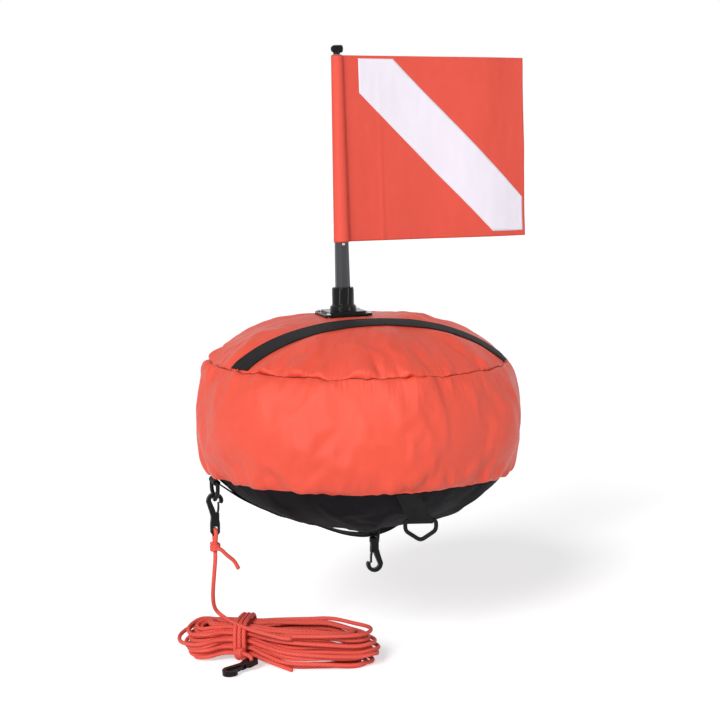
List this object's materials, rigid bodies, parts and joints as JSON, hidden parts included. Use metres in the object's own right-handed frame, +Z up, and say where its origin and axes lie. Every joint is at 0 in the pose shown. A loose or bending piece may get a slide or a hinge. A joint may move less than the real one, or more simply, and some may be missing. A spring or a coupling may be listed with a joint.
{
  "type": "dive flag float",
  "caption": "Inflated round dive float in a sewn cover, with a mast and flag, webbing, towing rings, a swivel hook and a hanked tether line with snap clips.",
  "frame": {"origin": "centre of the float at its widest circle, where it swims in the water", "axes": "+Z up along the float's axis; +X along the keel webbing towards its sewn end, away from the side with the tether; -Y towards the side with the towing ring"},
  "size_m": [0.5972, 0.5251, 0.9821],
  "materials": {
    "orange_cloth": "satin",
    "flag_cloth": "matte",
    "white_cloth": "matte",
    "black_cloth": "matte",
    "black_webbing": "matte",
    "black_plastic": "gloss",
    "mast_grey": "satin",
    "bladder_grey": "satin",
    "rope_coral": "matte",
    "steel": "satin"
  },
  "bodies": {
    "float": {"cover_top": "orange_cloth", "cover_side": "orange_cloth", "cover_bottom": "black_cloth", "bladder": "bladder_grey", "valve_body": "black_plastic", "top_strap": "black_webbing", "mast_socket": "black_plastic", "backing_plate": "steel", "flange_screw_1": "steel", "flange_screw_2": "steel", "flange_screw_3": "steel", "flange_screw_4": "steel", "flange_nut_1": "steel", "flange_nut_2": "steel", "flange_nut_3": "steel", "flange_nut_4": "steel", "front_tab": "black_webbing", "left_tab": "black_webbing", "keel_strap": "black_webbing", "tether_line": "rope_coral", "tether_hank": "rope_coral", "tether_wrap": "rope_coral", "lower_clip_body": "black_plastic", "lower_knot": "rope_coral"},
    "mast": {"mast": "mast_grey", "mast_cap": "black_plastic", "mast_stop_screw": "steel"},
    "flag": {"flag_cloth": "flag_cloth", "flag_stripe_front": "white_cloth", "flag_stripe_back": "white_cloth"},
    "valve_plug": {"valve_plug": "black_plastic"},
    "front_ring": {"front_ring": "black_plastic"},
    "tether_clip": {"left_ring": "black_plastic", "upper_clip_body": "black_plastic", "tether_knot": "rope_coral"},
    "upper_clip_gate": {"upper_clip_gate": "black_plastic"},
    "hook_eye": {"hook_eye": "black_plastic"},
    "hook_body": {"hook_body": "black_plastic"},
    "hook_gate": {"hook_gate": "black_plastic"},
    "lower_clip_gate": {"lower_clip_gate": "black_plastic"}
  },
  "joints": [
    {"name": "mast_lift", "type": "slide", "parent": "float", "child": "mast", "axis": [-0.0262, 0, 0.9997], "range_m": [0, 0.036]},
    {"name": "flag_swing", "type": "hinge", "parent": "mast", "child": "flag", "pos_m": [-0.025, 0, 0.15096], "axis": [-0.0262, 0, 0.9997], "continuous": true},
    {"name": "valve_pull", "type": "slide", "parent": "float", "child": "valve_plug", "axis": [0.1112, 0.415, 0.903], "range_m": [0, 0.012]},
    {"name": "front_ring_swing", "type": "hinge", "parent": "float", "child": "front_ring", "pos_m": [0.039, -0.20897, -0.14602], "axis": [0.9848, -0.1736, 0], "range_deg": [-100, 35]},
    {"name": "left_ring_swing", "type": "hinge", "parent": "float", "child": "tether_clip", "pos_m": [-0.23747, 0, -0.10852], "axis": [0, 1, 0], "range_deg": [-10, 40]},
    {"name": "upper_gate", "type": "hinge", "parent": "tether_clip", "child": "upper_clip_gate", "pos_m": [-0.23442, 0, -0.16535], "axis": [0, 1, 0], "range_deg": [-20, 0], "stiffness_Nm_per_rad": 0.02, "springref_deg": 8.59},
    {"name": "hook_swing", "type": "hinge", "parent": "float", "child": "hook_eye", "pos_m": [0.0268, 0, -0.21079], "axis": [0, 1, 0], "range_deg": [-35, 35]},
    {"name": "hook_swivel", "type": "hinge", "parent": "hook_eye", "child": "hook_body", "pos_m": [0.0268, 0, -0.21079], "axis": [0, 0, 1], "continuous": true},
    {"name": "hook_gate_swing", "type": "hinge", "parent": "hook_body", "child": "hook_gate", "pos_m": [0.02375, 0, -0.23409], "axis": [0, 1, 0], "range_deg": [-20, 0], "stiffness_Nm_per_rad": 0.02, "springref_deg": 8.59},
    {"name": "lower_gate", "type": "hinge", "parent": "float", "child": "lower_clip_gate", "pos_m": [-0.20778, -0.06579, -0.39534], "axis": [-0.118, -0.0738, 0.9903], "range_deg": [-20, 0], "stiffness_Nm_per_rad": 0.02, "springref_deg": 8.59}
  ]
}
